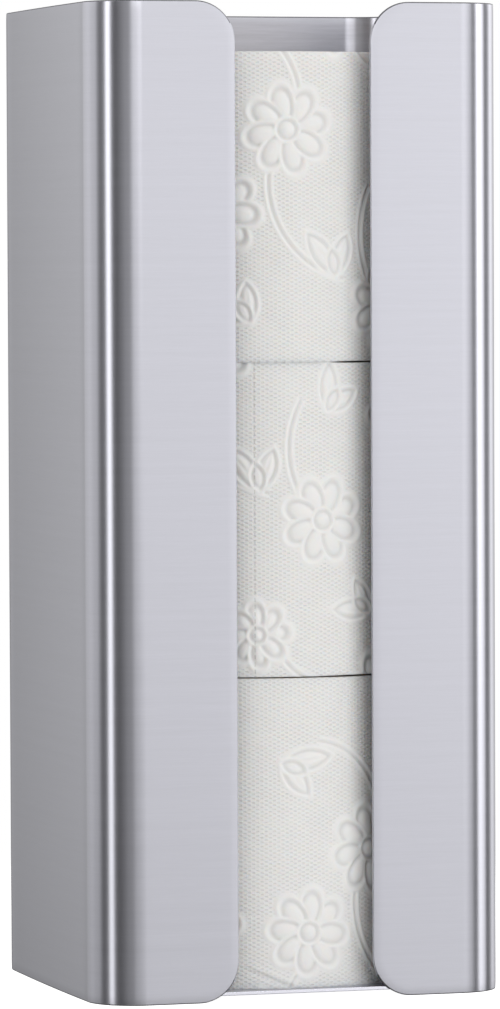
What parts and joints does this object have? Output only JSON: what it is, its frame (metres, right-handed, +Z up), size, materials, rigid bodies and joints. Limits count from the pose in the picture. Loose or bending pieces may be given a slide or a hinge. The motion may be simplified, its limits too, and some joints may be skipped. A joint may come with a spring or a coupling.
{
  "type": "toilet roll storage holder",
  "caption": "Tall open-topped holder folded from brushed steel sheet, with a front slot, a welded shelf and toilet rolls that lift out.",
  "frame": {"origin": "on the wall plane, in the middle of the four wall holes, half way up the holder", "axes": "+Z up, -Y out of the wall towards the user, +X to the right seen from the front"},
  "size_m": [0.131, 0.12, 0.305],
  "materials": {
    "brushed_stainless": "brushed stainless sheet, fine grain across the bends, satin, edges deburred",
    "tissue": "soft white embossed toilet tissue, matt",
    "core_board": "spiral-wound grey-brown board, matt"
  },
  "bodies": {
    "holder": {"shell": "brushed_stainless", "shelf": "brushed_stainless"},
    "lower_roll": {"lower_core": "core_board", "lower_paper": "tissue"},
    "middle_roll": {"middle_core": "core_board", "middle_paper": "tissue"},
    "upper_roll": {"upper_core": "core_board", "upper_paper": "tissue"}
  },
  "joints": [
    {"name": "lower_roll_lift", "type": "slide", "parent": "holder", "child": "lower_roll", "axis": [0, 0, 1], "range_m": [0, 0.31]},
    {"name": "middle_roll_lift", "type": "slide", "parent": "lower_roll", "child": "middle_roll", "axis": [0, 0, 1], "range_m": [0, 0.21]},
    {"name": "upper_roll_lift", "type": "slide", "parent": "middle_roll", "child": "upper_roll", "axis": [0, 0, 1], "range_m": [0, 0.115]}
  ]
}
